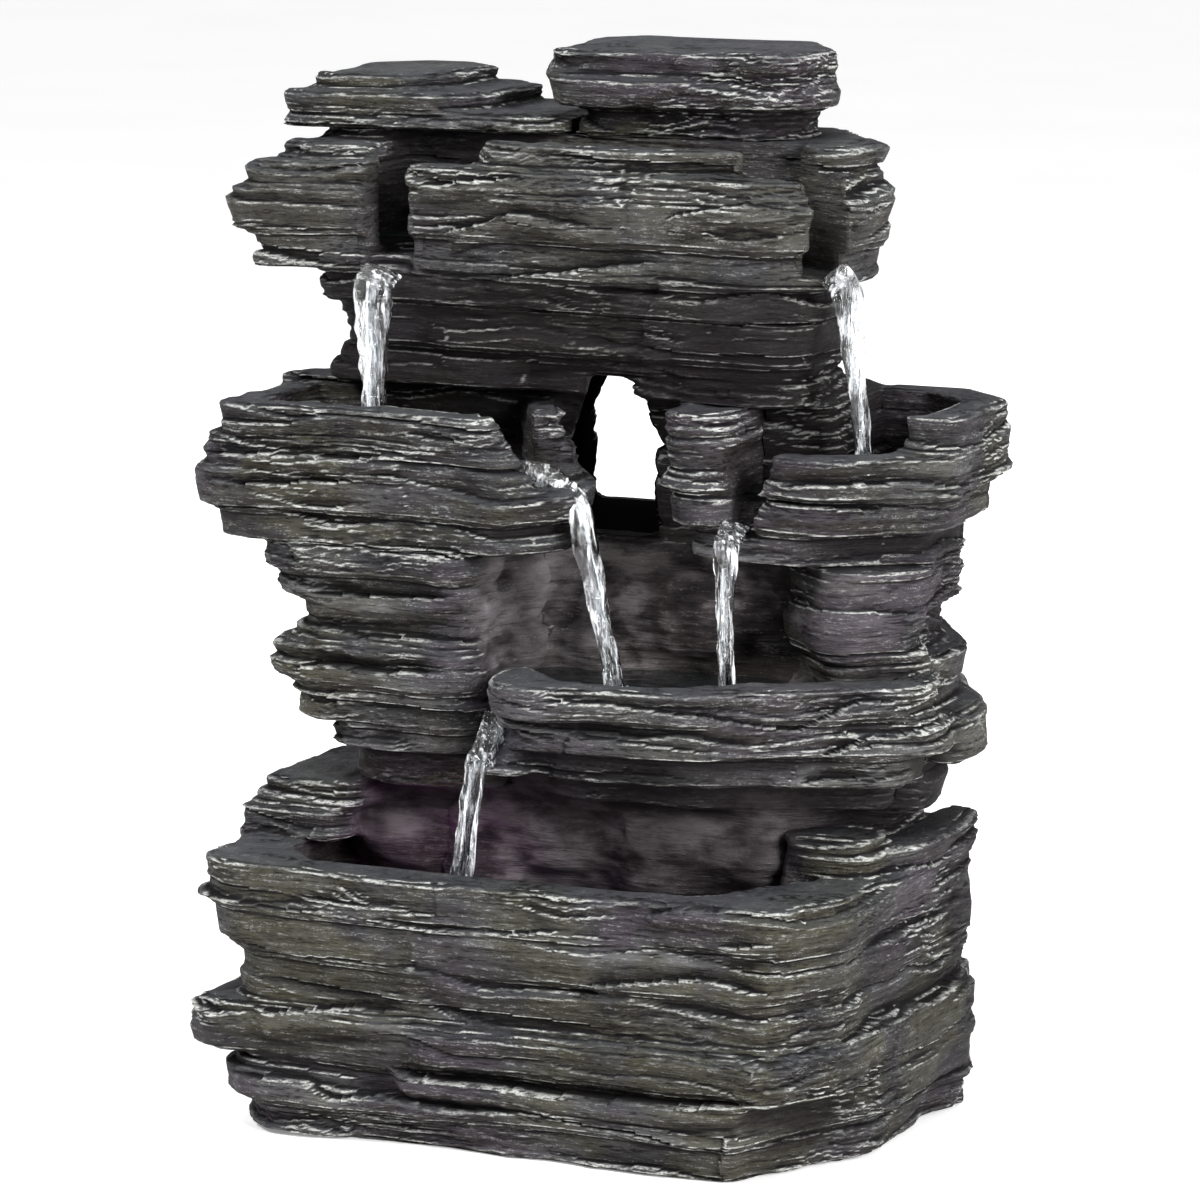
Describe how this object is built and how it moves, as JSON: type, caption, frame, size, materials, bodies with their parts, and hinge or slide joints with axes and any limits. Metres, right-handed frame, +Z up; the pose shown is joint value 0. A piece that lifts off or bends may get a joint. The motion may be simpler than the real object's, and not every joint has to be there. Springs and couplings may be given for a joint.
{
  "type": "garden fountain",
  "caption": "Free-standing slate-look cascade fountain: a pump lifts water to a header pool, and it falls from ledge to ledge back into the foot.",
  "frame": {"origin": "on the ground, under the middle of the overall box", "axes": "+Z up, +Y towards the back with the service door, +X to the right seen from the front"},
  "size_m": [0.408, 0.284, 0.578],
  "materials": {
    "slate_resin": "matte cast resin with dry-brushed edges",
    "black_plastic": "moulded, fine texture",
    "door_plastic": "moulded, matte",
    "white_plastic": "moulded, smooth",
    "hose_plastic": "clear flexible tube, slightly clouded",
    "black_rubber": "matte",
    "clamp_steel": "rolled strip",
    "insert_brass": "turned",
    "core_iron": "stacked sheet",
    "magnet_ferrite": "sintered",
    "shaft_ceramic": "ground",
    "filter_foam": "open-cell foam",
    "lens_glass": "clear",
    "board_green": "coated board"
  },
  "bodies": {
    "fountain": {"base_reservoir": "slate_resin", "left_pillar": "slate_resin", "centre_basin": "slate_resin", "left_basin": "slate_resin", "window_wall": "slate_resin", "window_sleeve": "slate_resin", "right_basin": "slate_resin", "header_basin": "slate_resin", "left_cap_stone": "slate_resin", "right_cap_stone": "slate_resin", "riser_hose": "hose_plastic", "hose_clamps": "clamp_steel", "header_outlet": "black_plastic", "outlet_locknut": "black_plastic", "outlet_gasket": "black_rubber", "pump_body": "black_plastic", "pump_stator_core": "core_iron", "pump_potting": "black_plastic", "pump_inlet_cover": "black_plastic", "pump_shaft": "shaft_ceramic", "pump_front_bush": "black_rubber", "pump_rear_bush": "black_rubber", "pump_suction_feet": "black_rubber", "light_housing": "black_plastic", "light_board": "board_green", "light_seal": "black_rubber", "light_lens": "lens_glass", "light_suction_foot": "black_rubber", "door_inserts": "insert_brass", "cable_grommet": "black_rubber", "drain_bush": "black_plastic"},
    "rotor": {"pump_impeller": "white_plastic", "pump_rotor_magnet": "magnet_ferrite"},
    "flow_dial": {"pump_flow_dial": "white_plastic"},
    "strainer": {"pump_strainer": "black_plastic", "pump_foam_filter": "filter_foam"},
    "door": {"rear_door": "door_plastic", "door_gasket": "black_rubber"},
    "left_screw": {"door_screw_left": "black_plastic"},
    "right_screw": {"door_screw_right": "black_plastic"},
    "bung": {"drain_bung": "black_rubber"}
  },
  "joints": [
    {"name": "impeller_spin", "type": "hinge", "parent": "fountain", "child": "rotor", "pos_m": [-0.084, 0.074, 0.038], "axis": [1, 0, 0], "continuous": true},
    {"name": "flow_dial_turn", "type": "hinge", "parent": "fountain", "child": "flow_dial", "pos_m": [-0.084, 0.074, 0.038], "axis": [1, 0, 0], "range_deg": [0, 60]},
    {"name": "strainer_pull", "type": "slide", "parent": "fountain", "child": "strainer", "axis": [-1, 0, 0], "range_m": [0, 0.024]},
    {"name": "door_lift_off", "type": "slide", "parent": "fountain", "child": "door", "axis": [0, 1, 0], "range_m": [0, 0.05]},
    {"name": "left_screw_turn", "type": "hinge", "parent": "door", "child": "left_screw", "pos_m": [-0.09, 0.138, 0.235], "axis": [0, 1, 0], "continuous": true},
    {"name": "right_screw_turn", "type": "hinge", "parent": "door", "child": "right_screw", "pos_m": [0.03, 0.138, 0.235], "axis": [0, 1, 0], "continuous": true},
    {"name": "drain_bung_pull", "type": "slide", "parent": "fountain", "child": "bung", "axis": [0, 1, 0], "range_m": [0, 0.04]}
  ]
}
